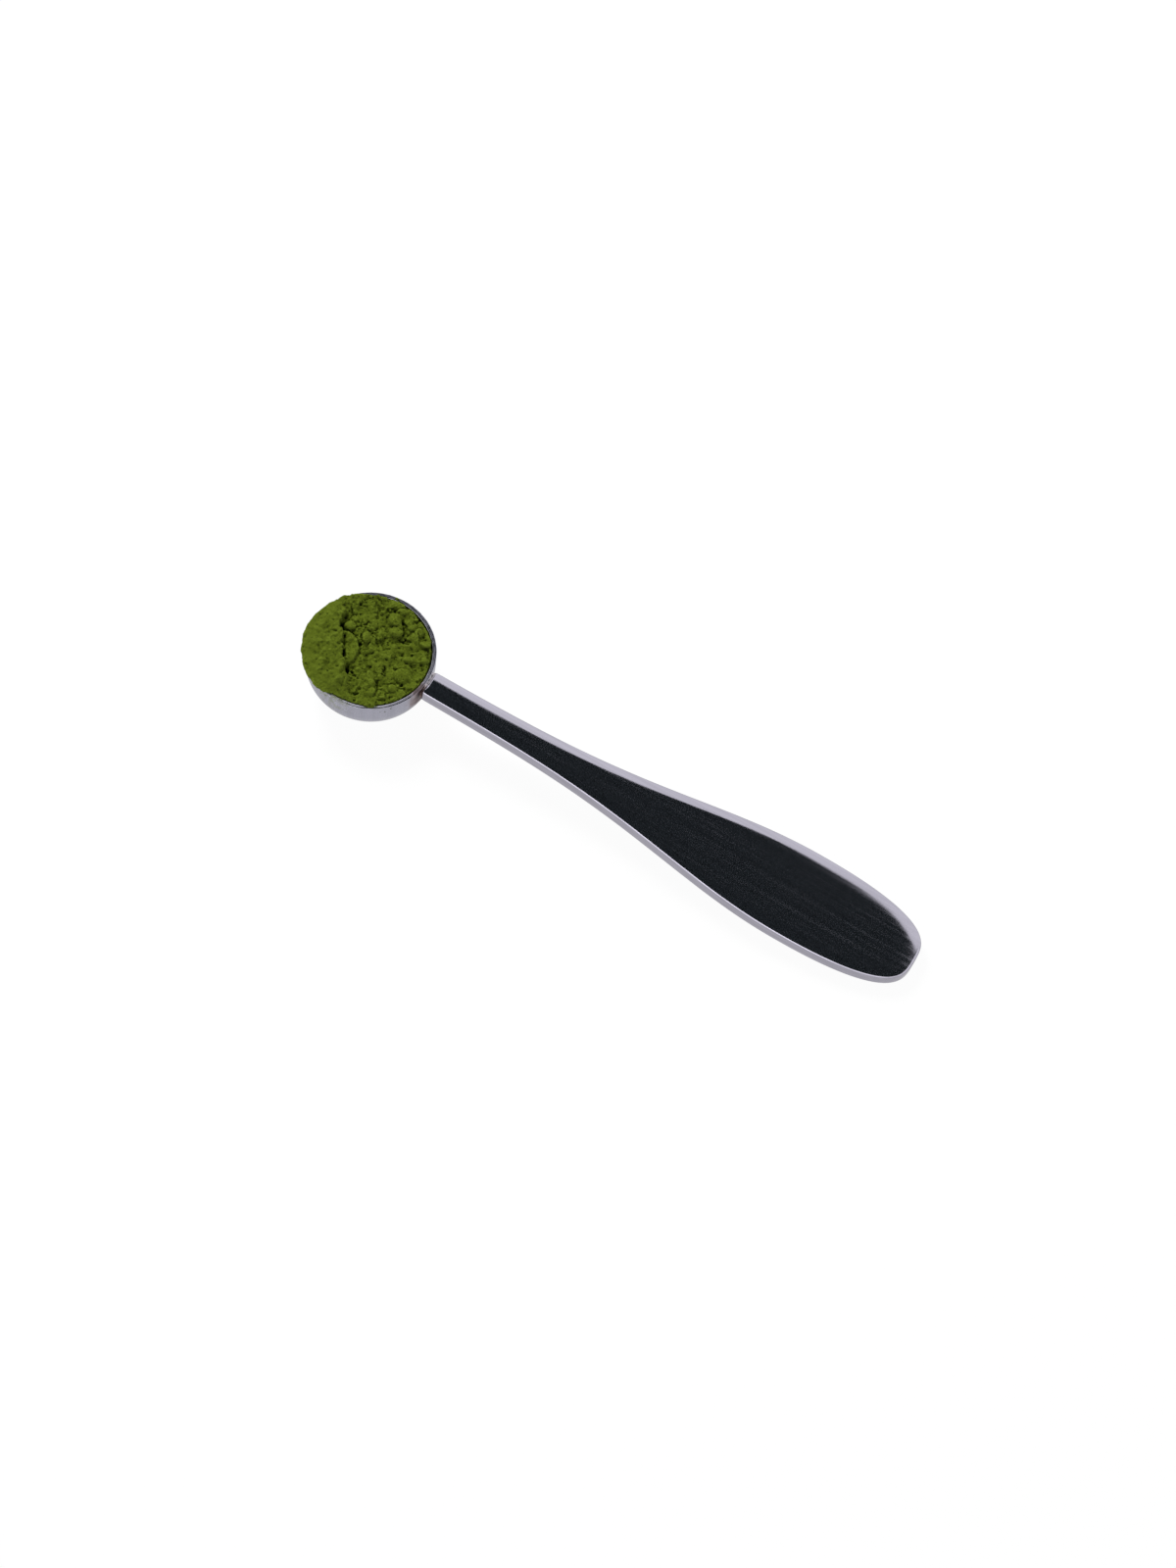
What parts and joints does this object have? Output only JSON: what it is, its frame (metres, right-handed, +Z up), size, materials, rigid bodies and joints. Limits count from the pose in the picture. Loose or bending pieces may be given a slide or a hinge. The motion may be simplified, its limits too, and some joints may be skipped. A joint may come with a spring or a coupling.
{
  "type": "matcha measuring spoon",
  "caption": "Polished steel measuring spoon with a shallow round cup, a flat paddle handle welded to the cup wall, and a heap of green powder in the cup.",
  "frame": {"origin": "centre of the cup's flat base, on the surface that the spoon lies on", "axes": "+X along the handle from the cup to the tip, +Z up through the cup's mouth, +Y to the left of the handle seen from the cup"},
  "size_m": [0.1182, 0.0226, 0.0106],
  "materials": {
    "cup_steel": "satin",
    "handle_steel": "polished",
    "weld_metal": "satin",
    "green_powder": "matte"
  },
  "bodies": {
    "spoon": {"cup": "cup_steel", "handle": "handle_steel", "weld_seam": "weld_metal"},
    "powder": {"matcha_powder": "green_powder"}
  },
  "joints": [
    {"name": "powder_lift", "type": "slide", "parent": "spoon", "child": "powder", "axis": [0, 0, 1], "range_m": [0, 0.03]}
  ]
}
